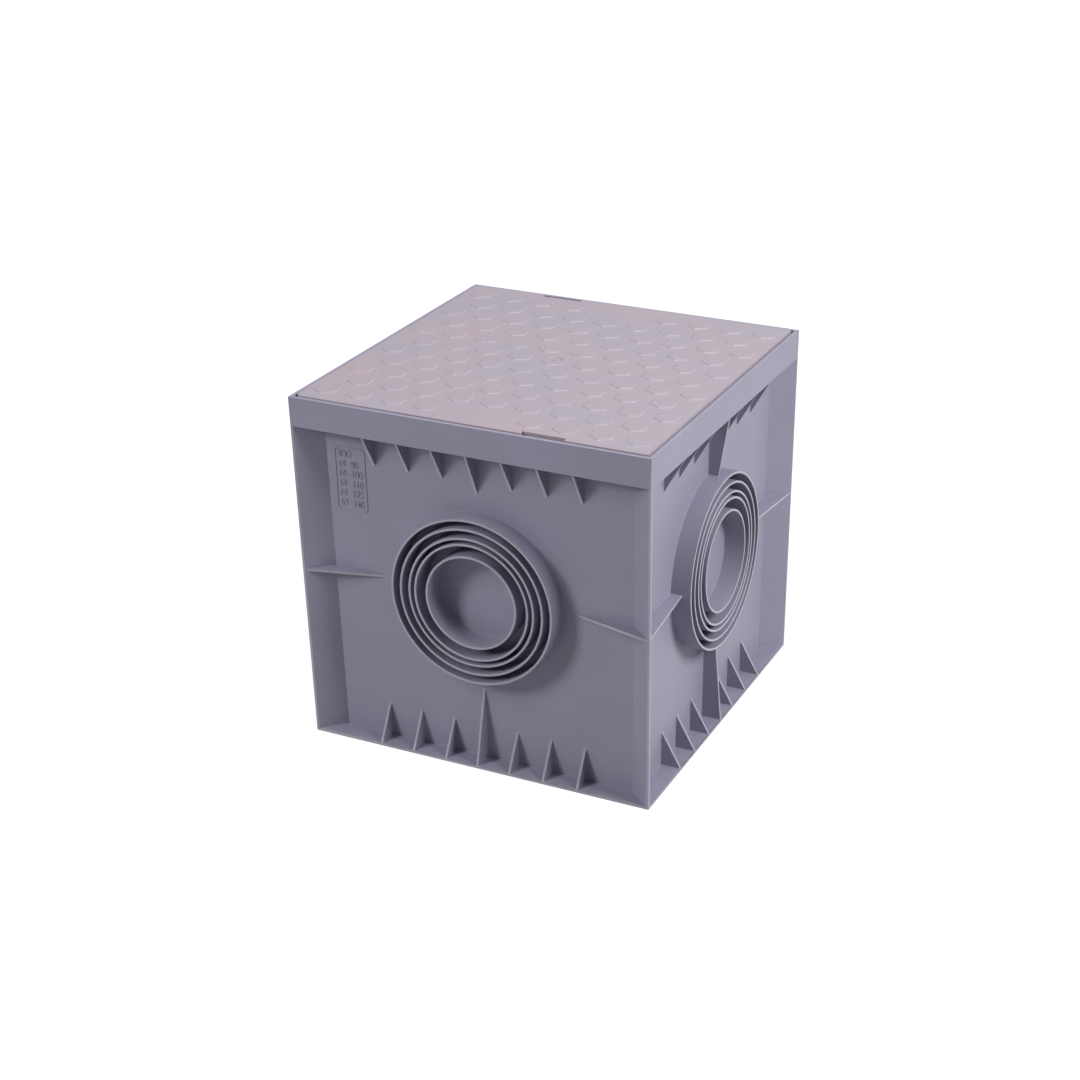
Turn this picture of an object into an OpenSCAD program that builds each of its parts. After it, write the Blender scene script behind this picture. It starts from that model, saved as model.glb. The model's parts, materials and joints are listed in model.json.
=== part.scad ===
// Drain inspection chamber.
// A square moulded box with nested knock-out pipe collars on its four sides, and a loose
// tread lid that drops into the rim. The origin is at the middle of the base, +Z is up, the
// spigot collars face -Y and +Y, and the socket collars face +X and -X.

/* [Chamber] */
// Outside width at the rim
chamber_w = 300; // [290:5:400]
// Height from the base to the rim
chamber_h = 290; // [280:5:400]
// How far each side leans in from the rim down to the base
side_lean = 3; // [1:0.5:6]
// Thickness of the walls and of the lid's seat
wall_t = 3; // [2.5:0.5:4]
// Thickness of the floor and of the base flange that it runs out into
floor_t = 2.4; // [2:0.2:4]
// Height of the plain band below the rim
band_h = 24; // [20:1:30]
// Thickness of the rim that stands around the lid
rim_t = 3; // [2:0.5:4]
// How deep the side panels are set back behind the band
panel_depth = 16.5; // [14:0.5:18]

/* [Pipe collars] */
// Pipe sizes that the nested rings are made for
pipe_sizes = [80, 100, 110, 125, 140]; // [40:5:140]
// Height of the collars' centre above the base
collar_z = 145.5; // [140:0.5:150]
// Thickness of each ring
ring_t = 1.8; // [1.5:0.1:2]
// Play between a pipe and the socket ring it goes into, across the diameter
socket_play = 0.2; // [0.1:0.1:1]
// How much narrower the bore of a spigot ring is than its pipe size
spigot_drop = 6; // [4:0.5:8]
// Depth of the socket rings, from their rims to the knock-out wall
socket_depth = 17; // [16:0.5:20]
// Depth of the spigot rings, from their rims to the knock-out wall
spigot_depth = 21; // [19:0.5:24]

/* [Ribs and webs] */
// Thickness of the corner fins at the chamber's outer edges
fin_t = 3; // [2:0.5:4]
// Thickness of the corner fins where they leave the panels
fin_root_t = 5.8; // [4:0.2:8]
// Thickness of the ribs, webs and gussets
rib_t = 2; // [1.5:0.1:2.5]
// Ribs in each row, above and below the collar
rib_count = 7; // [3:2:7]
// Distance between the ribs of a row
rib_pitch = 29.2; // [20:0.1:30]
// Distance from the middle to the first base rib, below a spigot collar
spigot_first_rib = 28; // [20:0.5:30]
// Distance from the middle to the first base rib, below a socket collar
socket_first_rib = 25.5; // [20:0.5:30]
// Length of the ribs under the band
top_rib_h = 28.8; // [20:0.2:34]
// Height of the ribs on the base flange
base_rib_h = 28.6; // [16:0.2:34]
// Length of the middle rib above a spigot collar
mid_top_rib_h = 36; // [20:1:38]
// Height of the middle rib below a spigot collar
mid_base_rib_h = 62; // [20:1:64]
// How far the gussets run along the panel beside a spigot collar
gusset_l = 50; // [20:1:52]
// How far the gussets lie below the collar's centre
gusset_drop = 1; // [0:0.5:10]
// How deep the cross webs' outer edges lie where they meet a socket collar
web_dip = 7.5; // [4:0.5:12]
// How far the ribs' and webs' outer ends stand back from the outer faces
rib_setback = 0.4; // [0.4:0.2:4]

/* [Lid] */
// Gap between the lid and the rim, on each side
lid_gap = 1.2; // [0.8:0.1:2]
// How far the lid's top face stands above the rim
lid_proud = 0.8; // [0:0.1:2]
// Thickness of the lid's top plate
lid_t = 3.5; // [3:0.5:5]
// Thickness of the lid's skirt
skirt_t = 2.5; // [2:0.5:4]
// Stiffening ribs under the lid, each way
lid_ribs = 5; // [1:2:7]
// Height of the stiffening ribs
lid_rib_h = 14; // [6:1:14]
// Length of a lifting notch
notch_l = 35; // [20:1:40]
// Width of a lifting notch
notch_w = 4; // [4:0.1:6]
// Distance from the lid's middle to a notch's middle, along the edge
notch_x = 62; // [40:1:80]

/* [Tread] */
// Distance between neighbouring studs
stud_pitch = 28.9; // [24:0.1:30]
// Width of a hexagonal stud across its flats
stud_w = 19.5; // [14:0.5:22]
// Height of a stud
stud_h = 0.8; // [0.6:0.1:2]
// Width of the sloping edge of a stud
stud_slope = 0.7; // [0.5:0.1:3]
// Rows of studs in front of the middle row, and behind it
stud_rows = 5; // [1:1:5]

/* [Hidden] */

sink = 0.8;                                // how deep a rib or ring is sunk to join a wall
panel_in = panel_depth + wall_t;           // from the outer face to the inside of a wall
seat_z = chamber_h - band_h;               // underside of the seat, where the band begins
seat_top = seat_z + wall_t;                // face that the lid rests on
lid_top = chamber_h + lid_proud;
lid_half = chamber_w / 2 - rim_t - lid_gap;
rib_reach = (rib_count - 1) / 2;
socket_bores = [for (d = pipe_sizes) (d + socket_play) / 2];
spigot_bores = [for (d = pipe_sizes) (d - spigot_drop) / 2];
collar_face = half_w(collar_z);            // distance of the collars' rims from the axis
stud_row_pitch = stud_pitch * sqrt(3) / 2;
dish_r = 7;                                // shallow dish in the middle stud
dish_depth = 0.6;
gate_r = 1.2;                              // stub of the gate that the lid was filled through
gate_h = 0.4;

BODY_COLOUR = [0.55, 0.55, 0.61];
LID_COLOUR = [0.72, 0.70, 0.74];

// Half the chamber's width at height z, less what a face is set back.
function half_w(z, back = 0) = chamber_w / 2 - side_lean * (1 - z / chamber_h) - back;

// Where a corner fin's face lies along a side, at distance y from the chamber's middle plane.
function fin_face(y) =
    y - (fin_t + (fin_root_t - fin_t) * (half_w(0) - y) / panel_depth) / sqrt(2);

// Place of rib i along a row whose first rib lies at the given distance from the middle.
function rib_place(i, first) = sign(i) * (first + (abs(i) - 1) * rib_pitch);

// ---------------------------------------------------------------- shared forms

// A square block between two heights, whose four sides lean as the chamber's do.
module leaning_block(z0, z1, back = 0) {
    intersection_for (turn = [0, 90]) {
        rotate([90, 0, turn])
            linear_extrude(height = 2 * chamber_w, center = true)
                polygon([
                    [-half_w(z0, back), z0], [half_w(z0, back), z0],
                    [half_w(z1, back), z1], [-half_w(z1, back), z1]
                ]);
    }
}

// A flat plate that stands on a side wall. Its outline is drawn as [distance from the
// chamber's axis, height], and it lies at x along the wall that faces -Y.
module upright_plate(x, thickness, outline) {
    translate([x, 0, 0])
        rotate([90, 0, -90])
            linear_extrude(height = thickness, center = true)
                polygon(outline);
}

// Draws its children on the face of -Y and again on the face of +Y.
module both_sides() {
    for (turn = [0, 180]) rotate([0, 0, turn]) children();
}

// ---------------------------------------------------------------- chamber body

// The panels' recesses. Their tapering ends leave a wedge-shaped fin at each corner.
module side_pockets() {
    near = half_w(0, panel_in);
    far = chamber_w / 2 + 1;
    difference() {
        for (turn = [0 : 90 : 270])
            rotate([0, 0, turn])
                translate([0, 0, floor_t])
                    linear_extrude(height = seat_z - floor_t)
                        polygon([
                            [-fin_face(near), -near], [fin_face(near), -near],
                            [fin_face(far), -far], [-fin_face(far), -far]
                        ]);
        leaning_block(0, chamber_h, panel_depth);
    }
}

// The box before its ribs and collars: floor and flange, panels, corner fins, band and seat.
// Its panels are open inside the outermost rings.
module shell() {
    seat_half = chamber_w / 2 - rim_t;
    difference() {
        leaning_block(0, chamber_h);
        leaning_block(floor_t, seat_top + 1, panel_in);
        side_pockets();
        translate([-seat_half, -seat_half, seat_top])
            cube([2 * seat_half, 2 * seat_half, band_h]);
        both_sides() collar_place()
            cylinder(r = max(spigot_bores), h = spigot_depth, $fn = 180);
        rotate([0, 0, 90]) both_sides() collar_place()
            cylinder(r = max(socket_bores), h = socket_depth, $fn = 180);
    }
}

// One pointed rib that hangs under the band.
module hanging_rib(x, length) {
    upright_plate(x, rib_t, [
        [half_w(seat_z, panel_depth + sink), seat_z + sink],
        [half_w(seat_z, rib_setback), seat_z + sink],
        [half_w(seat_z, rib_setback), seat_z],
        [half_w(seat_z - length, panel_depth), seat_z - length],
        [half_w(seat_z - length, panel_depth + sink), seat_z - length]
    ]);
}

// One pointed rib that stands on the base flange.
module standing_rib(x, height) {
    upright_plate(x, rib_t, [
        [half_w(0, panel_depth + sink), floor_t - sink],
        [half_w(0, rib_setback), floor_t - sink],
        [half_w(0, rib_setback), floor_t],
        [half_w(floor_t + height, panel_depth), floor_t + height],
        [half_w(floor_t + height, panel_depth + sink), floor_t + height]
    ]);
}

// The two rows of ribs on one side, all but the middle ones.
module rib_rows(base_first) {
    for (i = [-rib_reach : rib_reach])
        if (i != 0) {
            hanging_rib(rib_place(i, rib_pitch), top_rib_h);
            standing_rib(rib_place(i, base_first), base_rib_h);
        }
}

// Puts its children on the axis of the collar on the face of -Y. There +Z is the way that
// a pipe goes in, and 0 is where the rings' rims lie.
module collar_place() {
    translate([0, -collar_face, collar_z]) rotate([-90, 0, 0]) children();
}

// Nested knock-out rings, square to the pipe's axis although the panel leans. One round
// wall behind them closes them all, until it is cut out along a ring for a pipe.
module collar(bores, depth) {
    collar_place() {
        translate([0, 0, depth])
            cylinder(r = max(bores) + ring_t, h = wall_t, $fn = 180);
        for (r = bores)
            difference() {
                cylinder(r = r + ring_t, h = depth + sink, $fn = 180);
                translate([0, 0, -1]) cylinder(r = r, h = depth + sink + 2, $fn = 180);
            }
    }
}

// Flat gussets beside a spigot collar, from each corner fin to the panel.
module gussets() {
    z = collar_z - gusset_drop;
    edge = half_w(z);
    back = half_w(z, panel_depth);
    for (side = [-1, 1])
        translate([0, 0, z])
            linear_extrude(height = rib_t, center = true)
                polygon([
                    [side * (edge - rib_setback), -(edge - rib_setback)],
                    [side * (back - sink), -(back - sink)],
                    [side * (back - gusset_l), -(back - sink)],
                    [side * (back - gusset_l), -back]
                ]);
}

// Four webs that tie a socket collar to the band, the base flange and both corner fins.
module cross_webs(outer_r) {
    edge = half_w(collar_z);
    back = half_w(collar_z, panel_depth + sink);
    join = outer_r - ring_t / 2;
    reach = half_w(collar_z, web_dip);
    upright_plate(0, rib_t, [
        [back, collar_z + join], [reach, collar_z + join],
        [half_w(seat_z, rib_setback), seat_z + sink], [back, seat_z + sink]
    ]);
    upright_plate(0, rib_t, [
        [back, collar_z - join], [reach, collar_z - join],
        [half_w(0, rib_setback), floor_t - sink], [half_w(0, panel_depth + sink), floor_t - sink]
    ]);
    for (side = [-1, 1])
        translate([0, 0, collar_z])
            linear_extrude(height = rib_t, center = true)
                polygon([
                    [side * (edge - rib_setback), -(edge - rib_setback)],
                    [side * back, -back],
                    [side * join, -back],
                    [side * join, -reach]
                ]);
}

// A side that a pipe slides over: narrower rings, pointed middle ribs and two gussets.
module spigot_side() {
    rib_rows(spigot_first_rib);
    hanging_rib(0, mid_top_rib_h);
    standing_rib(0, mid_base_rib_h);
    collar(spigot_bores, spigot_depth);
    gussets();
}

// A side that a pipe goes into: full-size rings held by four webs.
module socket_side() {
    rib_rows(socket_first_rib);
    collar(socket_bores, socket_depth);
    cross_webs(max(socket_bores) + ring_t);
}

module chamber_body() {
    color(BODY_COLOUR)
        union() {
            shell();
            both_sides() spigot_side();
            rotate([0, 0, 90]) both_sides() socket_side();
        }
}

// ---------------------------------------------------------------- lid

// The lid's plate and skirt, hollow below.
module lid_pan() {
    inner = lid_half - skirt_t;
    difference() {
        translate([-lid_half, -lid_half, seat_top])
            cube([2 * lid_half, 2 * lid_half, lid_top - seat_top]);
        translate([-inner, -inner, seat_top - 1])
            cube([2 * inner, 2 * inner, lid_top - lid_t - seat_top + 1]);
    }
}

// The crossing ribs that stiffen the plate from below.
module lid_grid() {
    spacing = 2 * lid_half / (lid_ribs + 1);
    reach = (lid_ribs - 1) / 2;
    for (turn = [0, 90], i = [-reach : reach])
        rotate([0, 0, turn])
            translate([i * spacing - rib_t / 2, -lid_half + sink, lid_top - lid_t - lid_rib_h])
                cube([rib_t, 2 * (lid_half - sink), lid_rib_h + sink]);
}

// One hexagonal stud with sloping sides, points front and back.
module stud() {
    foot = stud_w / sqrt(3);
    top = foot - stud_slope * 2 / sqrt(3);
    rotate([0, 0, 30])
        translate([0, 0, -sink])
            cylinder(r1 = foot + sink * stud_slope / stud_h * 2 / sqrt(3), r2 = top,
                     h = stud_h + sink, $fn = 6);
}

// The middle stud, dished round the stub of the moulding gate.
module middle_stud() {
    difference() {
        stud();
        translate([0, 0, stud_h - dish_depth]) cylinder(r = dish_r, h = 1, $fn = 60);
    }
    translate([0, 0, -sink]) cylinder(r = gate_r, h = sink + stud_h - dish_depth + gate_h, $fn = 24);
}

// Staggered rows of studs. Two places near the front and back edges stay smooth.
module tread() {
    for (row = [-stud_rows : stud_rows]) {
        shift = row % 2 == 0 ? 0 : 0.5;
        cols = row % 2 == 0 ? 4 : 5;
        smooth = abs(row) == stud_rows ? 1 : 0;
        for (col = [-cols : 4])
            if (abs(col + shift) >= smooth)
                translate([(col + shift) * stud_pitch, row * stud_row_pitch, lid_top])
                    if (row == 0 && col == 0) middle_stud(); else stud();
    }
}

// The two places of the lifting notches, at opposite ends of the front and back edges.
module notch_places() {
    for (turn = [0, 180])
        rotate([0, 0, turn]) translate([notch_x, -lid_half, seat_top]) children();
}

// The skirt's wall where it bends round a notch.
module notch_wall() {
    translate([-notch_l / 2 - skirt_t, 0, 0])
        cube([notch_l + 2 * skirt_t, notch_w + skirt_t, lid_top - lid_t + sink - seat_top]);
}

// The slot that a lifting tool goes down.
module notch_slot() {
    translate([-notch_l / 2, -1, -1]) cube([notch_l, notch_w + 1, lid_top - seat_top + 2]);
}

module lid() {
    color(LID_COLOUR)
        difference() {
            union() {
                lid_pan();
                lid_grid();
                notch_places() notch_wall();
                tread();
            }
            notch_places() notch_slot();
        }
}

chamber_body();
lid();
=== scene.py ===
# A drain inspection chamber: a square moulded box with nested knock-out pipe collars on its
# four sides, and a loose tread lid. Sizes are in metres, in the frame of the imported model:
# the origin is at the middle of the base, +Z is up, and the front side faces -Y.
import json
from math import cos, radians, sin

import bmesh
import bpy
import numpy as np
from mathutils import Matrix, Vector


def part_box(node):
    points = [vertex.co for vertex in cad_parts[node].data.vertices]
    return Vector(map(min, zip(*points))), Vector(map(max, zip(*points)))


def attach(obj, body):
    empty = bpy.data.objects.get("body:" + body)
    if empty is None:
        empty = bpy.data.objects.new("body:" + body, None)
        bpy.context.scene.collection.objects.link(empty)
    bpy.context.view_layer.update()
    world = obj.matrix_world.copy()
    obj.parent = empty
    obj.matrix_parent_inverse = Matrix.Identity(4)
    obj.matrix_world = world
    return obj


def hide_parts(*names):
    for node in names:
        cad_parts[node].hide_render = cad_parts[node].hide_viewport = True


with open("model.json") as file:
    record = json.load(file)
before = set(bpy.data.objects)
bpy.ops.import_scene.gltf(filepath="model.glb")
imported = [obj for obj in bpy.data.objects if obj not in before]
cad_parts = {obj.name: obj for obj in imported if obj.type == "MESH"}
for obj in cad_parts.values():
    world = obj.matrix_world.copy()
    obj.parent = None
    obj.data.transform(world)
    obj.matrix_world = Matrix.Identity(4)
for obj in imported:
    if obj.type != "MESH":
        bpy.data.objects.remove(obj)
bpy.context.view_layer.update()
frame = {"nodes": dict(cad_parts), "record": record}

# ---------------------------------------------------------------- camera
# Stands in front of the chamber, a little to its right and above it, so that the lid, the
# front with its list of sizes, and the right side all show. A long lens keeps the sides
# nearly parallel, and a small shift sets the chamber's place in the frame.

view_azimuth = radians(25.07)
view_elevation = radians(24.57)
view_roll = radians(-0.38)
aim_right, aim_up, view_distance = 0.0384, -0.1304, 1.6315

chamber_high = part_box("chamber_body")[1]
rim_centre = Vector((0, 0, chamber_high.z))

# The camera's own axes are right, up and back, and back points from the chamber to it.
back = Vector((
    sin(view_azimuth) * cos(view_elevation),
    -cos(view_azimuth) * cos(view_elevation),
    sin(view_elevation),
))
level_right = Vector((cos(view_azimuth), sin(view_azimuth), 0))
level_up = back.cross(level_right)
right = level_right * cos(view_roll) + level_up * sin(view_roll)
up = level_up * cos(view_roll) - level_right * sin(view_roll)

camera = bpy.data.objects.new("camera", bpy.data.cameras.new("camera"))
camera.matrix_world = (
    Matrix.Translation(rim_centre + right * aim_right + up * aim_up + back * view_distance)
    @ Matrix((right, up, back)).transposed().to_4x4()
)
camera.data.lens = 69.2
camera.data.shift_x = -0.058
camera.data.shift_y = -0.0113
bpy.context.scene.collection.objects.link(camera)
bpy.context.scene.camera = camera
bpy.context.scene.view_settings.view_transform = "Standard"

# ---------------------------------------------------------------- chamber body
# The box itself: floor, four ribbed sides and rim in one injection moulding of grey
# polypropylene. It is bedded in the ground, and pipes go into or over its collars once an
# installer has cut out the wall inside the ring of the right size.

merge_distance = 0.000001   # corners of the CAD mesh closer than this are one corner
flat_turn = radians(0.3)    # faces that turn less than this make one flat face
sharp_turn = radians(30)    # an edge that turns more than this is a corner of the moulding
ridge_width = 0.0022        # the widest edge of a rib, ring or stud whose faces are painted paler, as a painted highlight


def turn(edge):
    """The angle by which the surface turns at an edge of a bmesh: positive where it turns
    outwards, as on a ridge, and negative where it turns inwards, as in a groove."""
    return edge.calc_face_angle_signed(0)


def round_edges(work, edges, radius, strips):
    """Turns edges of a bmesh into rounds of so many flat strips."""
    bmesh.ops.bevel(
        work, geom=edges, offset=radius, offset_type="OFFSET", segments=strips,
        profile=0.5, affect="EDGES", clamp_overlap=False, miter_outer="PATCH", material=-1,
    )


def moulded_copy(node, name, corner_radius, post_radius=0.0, round_grooves=True):
    """A merged copy of a CAD node with its corners rounded, as a mould's cutters leave them.

    Flat areas are joined into single faces first. Where a post radius is given, the four
    upright edges at the corners of the node's box are rounded to it in five strips. Then
    each edge with a sharp turn outwards becomes a round of two strips, and so does each one
    with a sharp turn inwards where grooves are rounded too. A face takes the second material
    slot, whose paler colour is a painted highlight, where twice its area is less than the
    ridge width times the length of its edges with a sharp turn outwards: the rims of rings,
    the edges of ribs and the slopes round studs.
    """
    mesh = frame["nodes"][node].data.copy()
    mesh.name = name
    mesh.materials.clear()
    work = bmesh.new()
    work.from_mesh(mesh)
    bmesh.ops.remove_doubles(work, verts=work.verts, dist=merge_distance)
    bmesh.ops.dissolve_limit(work, angle_limit=flat_turn, verts=work.verts, edges=work.edges)
    if post_radius:
        near = 10 * merge_distance
        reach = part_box(node)[1].xy.length - near
        posts = [
            edge for edge in work.edges
            if (edge.verts[0].co - edge.verts[1].co).xy.length < near
            and edge.verts[0].co.xy.length > reach
        ]
        round_edges(work, posts, post_radius, strips=5)
    for face in work.faces:
        ridges = sum(edge.calc_length() for edge in face.edges if turn(edge) > sharp_turn)
        # Narrow ridges take the second slot, whose paler colour is a painted highlight.
        face.material_index = int(2 * face.calc_area() < ridge_width * ridges)
    corners = [
        edge for edge in work.edges
        if turn(edge) > sharp_turn or (round_grooves and turn(edge) < -sharp_turn)
    ]
    round_edges(work, corners, corner_radius, strips=2)
    work.to_mesh(mesh)
    work.free()
    mesh.shade_smooth()
    piece = bpy.data.objects.new(name, mesh)
    bpy.context.scene.collection.objects.link(piece)
    shading = piece.modifiers.new("flat faces stay flat", "WEIGHTED_NORMAL")
    shading.keep_sharp = True
    return piece


def from_hex(code):
    """A colour's linear values from its sRGB hex code, by the sRGB curve."""
    parts = np.array([int(code[i:i + 2], 16) for i in (1, 3, 5)]) / 255
    linear = np.where(parts <= 0.04045, parts / 12.92, ((parts + 0.055) / 1.055) ** 2.4)
    return (*linear.tolist(), 1.0)


def add_node(tree, kind, inputs=None, **settings):
    """Adds a shader node. An input given as another node's socket is linked, and any other
    value is set on the input itself."""
    made = tree.nodes.new(kind)
    for name, value in settings.items():
        setattr(made, name, value)
    for name, value in (inputs or {}).items():
        if isinstance(value, bpy.types.NodeSocket):
            tree.links.new(value, made.inputs[name])
        else:
            made.inputs[name].default_value = value
    return made


def moulded_polypropylene(name, colour, cloud_colour, roughness):
    """Polypropylene as it leaves an injection mould.

    The mould is spark-eroded, which gives the plastic a satin face. Its grain is finer than
    0.1 mm, and is drawn 0.5 mm wide so that it shows. The grey masterbatch is not quite
    evenly mixed, which shows as soft clouds some 60 mm wide. Handling leaves faint pale
    scuffs, some 4 mm wide and 60 mm long, which run askew over every side.
    """
    cloud_width = 0.060
    grain_width, grain_depth = 0.0005, 0.00008
    scuff_width, scuff_length = 0.004, 0.060
    scuff_turn = (0.5, 0.3, 0.9)
    scuff_colour = "#D9D7DE"
    material = bpy.data.materials.new(name)
    material.use_nodes = True
    tree = material.node_tree
    tree.nodes.clear()
    place = add_node(tree, "ShaderNodeTexCoord").outputs["Object"]
    clouds = add_node(tree, "ShaderNodeTexNoise", {
        "Vector": place, "Scale": 1 / cloud_width, "Detail": 3.0, "Roughness": 0.45,
    })
    cloud_share = add_node(tree, "ShaderNodeMapRange", {
        "Value": clouds.outputs["Fac"], "From Min": 0.35, "From Max": 0.65,
    })
    clouded = add_node(tree, "ShaderNodeMix", {
        0: cloud_share.outputs["Result"], 6: from_hex(colour), 7: from_hex(cloud_colour),
    }, data_type="RGBA")
    grain = add_node(tree, "ShaderNodeTexNoise", {
        "Vector": place, "Scale": 1 / grain_width, "Detail": 2.0, "Roughness": 0.6,
    })
    stretched = add_node(tree, "ShaderNodeMapping", {
        "Vector": place, "Rotation": scuff_turn,
        "Scale": (1 / scuff_width, 1 / scuff_width, 1 / scuff_length),
    })
    scuffs = add_node(tree, "ShaderNodeTexNoise", {
        "Vector": stretched.outputs["Vector"], "Scale": 1.0, "Detail": 4.0, "Roughness": 0.7,
    })
    scuff_share = add_node(tree, "ShaderNodeMapRange", {
        "Value": scuffs.outputs["Fac"], "From Min": 0.66, "From Max": 0.78, "To Max": 0.10,
    })
    scuffed = add_node(tree, "ShaderNodeMix", {
        0: scuff_share.outputs["Result"], 6: clouded.outputs[2], 7: from_hex(scuff_colour),
    }, data_type="RGBA")
    satin = add_node(tree, "ShaderNodeMapRange", {
        "Value": grain.outputs["Fac"], "From Min": 0.3, "From Max": 0.7,
        "To Min": roughness - 0.05, "To Max": roughness + 0.05,
    })
    relief = add_node(tree, "ShaderNodeBump", {
        "Height": grain.outputs["Fac"], "Strength": 0.35, "Distance": grain_depth,
    })
    plastic = add_node(tree, "ShaderNodeBsdfPrincipled", {
        "Base Color": scuffed.outputs[2], "Roughness": satin.outputs["Result"],
        "IOR": 1.49, "Normal": relief.outputs["Normal"],
    })
    add_node(tree, "ShaderNodeOutputMaterial", {"Surface": plastic.outputs["BSDF"]})
    return material


chamber_body = moulded_copy("chamber_body", "chamber_body_moulding", corner_radius=0.0003)
body_plastic = moulded_polypropylene(
    "moulded_grey_polypropylene", "#9C99AE", "#9895A8", roughness=0.48
)
# The ridges are smoother than the rest, and their paler colour is a painted highlight.
body_ridge_highlight = moulded_polypropylene(
    "grey_polypropylene_painted_highlight", "#B4B2C0", "#ACAAB8", roughness=0.38
)
chamber_body.data.materials.append(body_plastic)
chamber_body.data.materials.append(body_ridge_highlight)
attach(chamber_body, "root")
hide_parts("chamber_body")

# ---------------------------------------------------------------- lid
# A loose square tread lid, moulded in a paler grey polypropylene than the box. It rests on
# the seat inside the rim, and lifts out with a hook in one of its two edge notches.

lid = moulded_copy(
    "lid", "lid_moulding", corner_radius=0.0004, post_radius=0.0045, round_grooves=False
)

# The hot runner's valve pin leaves a small pit in the top of the gate stub. Its floor and
# walls are painted near black, as painted shade.
# The stub's top is the highest of the faces that are centred on the lid's axis.
off_axis = 0.0001           # a face centred nearer to the axis than this is centred on it
pit_rim, pit_taper, pit_depth = 0.0002, 0.0001, 0.0010
work = bmesh.new()
work.from_mesh(lid.data)
axis_faces = [face for face in work.faces if face.calc_center_median().xy.length < off_axis]
stub_top = max(axis_faces, key=lambda face: face.calc_center_median().z)
bmesh.ops.inset_individual(work, faces=[stub_top], thickness=pit_rim)
pit_wall = bmesh.ops.inset_individual(
    work, faces=[stub_top], thickness=pit_taper, depth=-pit_depth
)["faces"]
# The pit's floor and walls take the third slot, painted near black as shade.
for face in [stub_top, *pit_wall]:
    face.material_index = 2
work.to_mesh(lid.data)
work.free()

lid_plastic = moulded_polypropylene(
    "moulded_pale_grey_polypropylene", "#AEA1AB", "#A8A1AC", roughness=0.52
)
# Feet polish the slopes of the studs smoother, and their paler colour is a painted highlight.
lid_ridge_highlight = moulded_polypropylene(
    "pale_grey_polypropylene_painted_highlight", "#B2A5AF", "#ACA5B0", roughness=0.32
)
# Painted shade for the gate pit: near black.
gate_pit_painted_shade = moulded_polypropylene(
    "pale_grey_polypropylene_painted_pit_shade", "#2E282C", "#2A2428", roughness=0.6
)
lid.data.materials.append(lid_plastic)
lid.data.materials.append(lid_ridge_highlight)
lid.data.materials.append(gate_pit_painted_shade)
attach(lid, "root")
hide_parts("lid")

# ---------------------------------------------------------------- list of sizes
# Raised figures in a raised border, high on the left of the front side: the chamber's size
# in millimetres, and under it the pipe diameters that its rings are made for. They are part
# of the body's moulding, and a round-nosed cutter makes each line a low half-round bead.

list_left, list_right = -0.1218, -0.0958
list_low, list_top = 0.1957, 0.2490
list_corner = 0.004
line_width, line_height, line_sink = 0.0007, 0.0007, 0.0001
line_strips = 5             # flat strips across a line's round top
list_rows = [0.2434, 0.2350, 0.2272, 0.2189, 0.2109, 0.2027]
heading_left, mark_left, number_left = -0.1207, -0.1187, -0.1080
heading_figure = (0.0036, 0.0058)
mark_figure = (0.0052, 0.0048)
number_figure = (0.0026, 0.0054)
figure_pitch = 1.25         # from one figure to the next, in widths of a figure
side_lean, panel_depth = 0.0030, 0.0165


def oval(middle, half_width, half_height, sides):
    """A closed oval, upright in a box one unit wide and one unit high: half the width times
    the sine of the turn across, and half the height times its cosine up from the middle."""
    turns = np.linspace(0, 2 * np.pi, sides + 1)
    return np.stack([
        0.5 + half_width * np.sin(turns), middle + half_height * np.cos(turns)
    ], axis=1)


# Strokes of each figure in such a box.
figure_strokes = {
    "0": [oval(0.5, 0.5, 0.5, 12)],
    "1": [[(0.2, 0.8), (0.55, 1.0), (0.55, 0.0)]],
    "2": [[(0.05, 0.8), (0.25, 1.0), (0.75, 1.0), (0.95, 0.75), (0.05, 0.0), (1.0, 0.0)]],
    "3": [[(0.05, 0.9), (0.4, 1.0), (0.9, 0.85), (0.8, 0.6), (0.4, 0.52), (0.85, 0.45),
           (0.95, 0.15), (0.5, 0.0), (0.05, 0.1)]],
    "4": [[(0.75, 0.0), (0.75, 1.0), (0.0, 0.3), (1.0, 0.3)]],
    "5": [[(0.95, 1.0), (0.15, 1.0), (0.1, 0.55), (0.6, 0.62), (0.95, 0.35), (0.7, 0.0),
           (0.05, 0.05)]],
    "8": [oval(0.76, 0.42, 0.24, 9), oval(0.27, 0.5, 0.27, 9)],
    "diameter": [oval(0.5, 0.5, 0.5, 12), [(0.0, -0.05), (1.0, 1.05)]],
}


def front_panel(across, height, raised):
    """Places points on the front panel: across is along X, height is along Z, and raised is
    how far they stand off the panel. The panel lies its depth behind the front side, whose
    lean grows evenly from nothing at the rim to its full size at the base."""
    half_wide = chamber_high.x - side_lean * (1 - height / chamber_high.z)
    return np.stack([across, -(half_wide - panel_depth) - raised, height], axis=-1)


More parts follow.
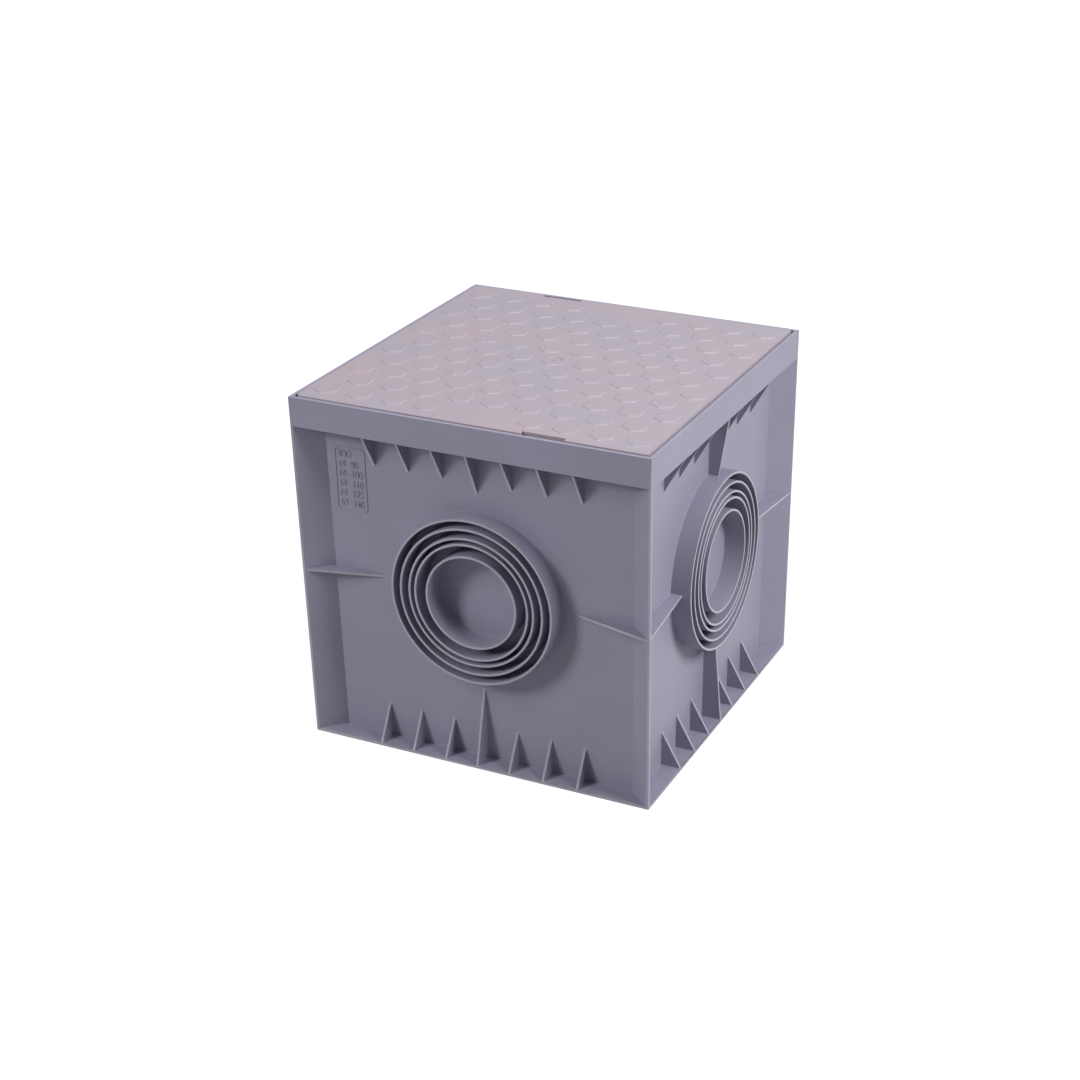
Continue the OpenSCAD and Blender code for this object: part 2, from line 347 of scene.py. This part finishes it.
def raised_line(points, closed=False):
    """A half-round bead along a line on the front panel, as vertices and blocks of faces.

    The profile is half a circle's arc, width across and height out of the panel, with its
    foot sunk a little into it. At each point it is turned to the mean direction of the two
    stretches that meet there, and widened by one over the cosine of half the bend, so that
    the bead keeps its width. The cosine never counts as less than its least value, so that
    a sharp bend stays compact.
    """
    least_cosine = 0.6
    path = np.array(points, float)
    if closed:
        before, after = np.roll(path, 1, axis=0), np.roll(path, -1, axis=0)
    else:
        before = np.vstack([2 * path[0] - path[1], path[:-1]])
        after = np.vstack([path[1:], 2 * path[-1] - path[-2]])
    come = (path - before) / np.linalg.norm(path - before, axis=1)[:, None]
    go = (after - path) / np.linalg.norm(after - path, axis=1)[:, None]
    mean = come + go
    mean /= np.linalg.norm(mean, axis=1)[:, None]
    widen = 1 / np.clip((mean * go).sum(axis=1), least_cosine, 1)
    side = np.stack([mean[:, 1], -mean[:, 0]], axis=1) * widen[:, None]
    arc = np.linspace(0, np.pi, line_strips + 1)
    flat = path[:, None, :] + side[:, None, :] * np.cos(arc)[None, :, None] * line_width / 2
    out = np.broadcast_to(np.sin(arc) * line_height - line_sink, flat.shape[:2])
    vertices = front_panel(flat[..., 0], flat[..., 1], out).reshape(-1, 3)
    rows, columns = len(path), len(arc)
    last = rows if closed else rows - 1
    row, column = np.meshgrid(np.arange(last), np.arange(columns - 1), indexing="ij")
    corner = (row * columns + column).ravel()
    beyond = (((row + 1) % rows) * columns + column).ravel()
    blocks = [np.stack([corner, beyond, beyond + 1, corner + 1], axis=1)]
    if not closed:
        start = np.arange(columns)
        blocks.append(np.stack([start, start[::-1] + (rows - 1) * columns]))
    return vertices, blocks


def written(figures, left, height, size):
    """The strokes of a row of figures that starts at a place on the panel, with its middle
    at a height. Each stroke is scaled from its unit box to the size of a figure, and moved
    on by one pitch for each figure before it."""
    return [
        np.array(stroke) * size + (left + i * size[0] * figure_pitch, height - size[1] / 2)
        for i, figure in enumerate(figures) for stroke in figure_strokes[figure]
    ]


def joined_surfaces(name, surfaces):
    """One smooth-shaded object made of several surfaces, each given as its vertices and as
    blocks of faces with a like number of corners. A surface's faces count its own vertices
    from nought, so they are raised by the number of vertices before it."""
    starts = np.cumsum([0] + [len(vertices) for vertices, _ in surfaces])
    faces = []
    for start, (_, blocks) in zip(starts, surfaces):
        for block in blocks:
            faces += (block + start).tolist()
    mesh = bpy.data.meshes.new(name)
    mesh.from_pydata(np.vstack([vertices for vertices, _ in surfaces]).tolist(), [], faces)
    mesh.shade_smooth()
    piece = bpy.data.objects.new(name, mesh)
    bpy.context.scene.collection.objects.link(piece)
    return piece


# The border is a quarter circle at each corner, with straight stretches between them.
quarter_turn = np.radians(range(0, 91, 15))
border = np.vstack([
    np.stack([across + list_corner * np.cos(start + quarter_turn),
              height + list_corner * np.sin(start + quarter_turn)], axis=1)
    for across, height, start in (
        (list_right - list_corner, list_top - list_corner, 0),
        (list_left + list_corner, list_top - list_corner, np.pi / 2),
        (list_left + list_corner, list_low + list_corner, np.pi),
        (list_right - list_corner, list_low + list_corner, 3 * np.pi / 2),
    )
])
strokes = written("300", heading_left, list_rows[0], heading_figure)
for diameter, height in zip(("80", "100", "110", "125", "140"), list_rows[1:]):
    strokes += written(["diameter"], mark_left, height, mark_figure)
    strokes += written(diameter, number_left, height, number_figure)

lines = [raised_line(border, closed=True)] + [raised_line(stroke) for stroke in strokes]
size_list = joined_surfaces("size_list", lines)
size_list.data.materials.append(body_plastic)
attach(size_list, "root")

# ---------------------------------------------------------------- centre points
# A low round point in the middle of each knock-out wall, for the tip of an installer's hole
# cutter. It is moulded with the body, in the same polypropylene.

point_radius, point_height, point_sink = 0.0009, 0.0004, 0.00005
point_sides = 16


def centre_point(foot, outward):
    """A dome on a wall, as vertices and blocks of faces: at a share r of its radius it stands
    1 - r squared of its height off the wall, with its foot sunk a little into it."""
    outward = np.array(outward, float)
    level = np.cross(outward, (0.0, 0.0, 1.0))
    share, turns = np.meshgrid(
        np.linspace(1, 0.25, 4), np.linspace(0, 2 * np.pi, point_sides, endpoint=False),
        indexing="ij",
    )
    along = level * np.cos(turns)[..., None] + (0, 0, 1) * np.sin(turns)[..., None]
    height = (1 - share ** 2) * point_height - point_sink
    dome = along * share[..., None] * point_radius + outward * height[..., None]
    tip = outward * (point_height - point_sink)
    vertices = np.vstack([dome.reshape(-1, 3), tip[None]]) + foot
    rings = len(share)
    ring, side = np.meshgrid(np.arange(rings - 1), np.arange(point_sides), indexing="ij")
    here = ring * point_sides + side
    beyond = ring * point_sides + (side + 1) % point_sides
    quads = np.stack([here, here + point_sides, beyond + point_sides, beyond], axis=-1)
    side = np.arange(point_sides)
    top_ring = (rings - 1) * point_sides
    triangles = np.stack([
        top_ring + side, np.full(point_sides, rings * point_sides),
        top_ring + (side + 1) % point_sides,
    ], axis=1)
    return vertices, [quads.reshape(-1, 4), triangles]


def knock_out_wall(bore):
    """The middle of the wall at the inner end of a collar's bore. The bore's own place is
    the middle of its length."""
    half_length = bore["dims"]["length_mm"] / 1000 / 2
    return np.array(bore["pos_m"]) - np.array(bore["axis"]) * half_length


points = [
    centre_point(knock_out_wall(bore), bore["axis"])
    for bore in frame["record"]["mounts"] if bore["kind"] == "bore"
]
centre_points = joined_surfaces("centre_points", points)
centre_points.data.materials.append(body_plastic)
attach(centre_points, "root")

# ---------------------------------------------------------------- floor and light
# A white paper floor under a white sky, lit by four soft boxes. The camera and reflections
# see the paper lifted to white, and all other light meets its own pale grey. The camera
# sees the full sky, and all other rays a dim one, so that the soft boxes shape the chamber.

floor_reach, floor_sides = 1.6, 96
paper_lift = 0.85
sky_light = 0.145
around = np.linspace(0, 2 * np.pi, floor_sides, endpoint=False)
floor_mesh = bpy.data.meshes.new("floor")
floor_mesh.from_pydata(
    np.stack([np.cos(around), np.sin(around), np.zeros(floor_sides)], axis=1) * floor_reach,
    [], [list(range(floor_sides))],
)
floor = bpy.data.objects.new("floor", floor_mesh)
bpy.context.scene.collection.objects.link(floor)

paper = bpy.data.materials.new("white_studio_paper")
paper.use_nodes = True
tree = paper.node_tree
tree.nodes.clear()
rays = add_node(tree, "ShaderNodeLightPath")
seen = add_node(tree, "ShaderNodeMath", {
    0: rays.outputs["Is Camera Ray"], 1: rays.outputs["Is Glossy Ray"],
}, operation="MAXIMUM")
lift = add_node(
    tree, "ShaderNodeMath", {0: seen.outputs[0], 1: paper_lift}, operation="MULTIPLY"
)
matt = add_node(tree, "ShaderNodeBsdfDiffuse", {"Color": from_hex("#8C8C8E")})
glow = add_node(tree, "ShaderNodeEmission", {"Strength": lift.outputs[0]})
both = add_node(tree, "ShaderNodeAddShader", {0: matt.outputs[0], 1: glow.outputs[0]})
add_node(tree, "ShaderNodeOutputMaterial", {"Surface": both.outputs[0]})
floor.data.materials.append(paper)

world = bpy.data.worlds.new("studio")
world.use_nodes = True
tree = world.node_tree
tree.nodes.clear()
rays = add_node(tree, "ShaderNodeLightPath")
strength = add_node(tree, "ShaderNodeMapRange", {
    "Value": rays.outputs["Is Camera Ray"], "To Min": sky_light, "To Max": 1.0,
})
sky = add_node(tree, "ShaderNodeBackground", {
    "Color": (1, 1, 1, 1), "Strength": strength.outputs["Result"],
})
add_node(tree, "ShaderNodeOutputWorld", {"Surface": sky.outputs[0]})
bpy.context.scene.world = world


def soft_box(name, place, size, power):
    """A square white lamp, so wide and of so many watts, that faces the chamber's middle."""
    lamp = bpy.data.objects.new(name, bpy.data.lights.new(name, "AREA"))
    lamp.data.size = size
    lamp.data.energy = power
    middle = Vector((0, 0, chamber_high.z / 2))
    lamp.location = place
    lamp.rotation_euler = (Vector(place) - middle).to_track_quat("Z", "Y").to_euler()
    bpy.context.scene.collection.objects.link(lamp)


soft_box("right_soft_box", (2.2, -0.1, 1.7), size=1.0, power=60)
soft_box("top_soft_box", (0, 1.2, 2.4), size=1.4, power=27)
soft_box("left_soft_box", (-1.7, -2.1, 1.6), size=0.7, power=34)
# A small high lamp puts a glint on the slopes of the lid's studs.
soft_box("edge_soft_box", (-1.3, -1.7, 2.3), size=0.5, power=10)
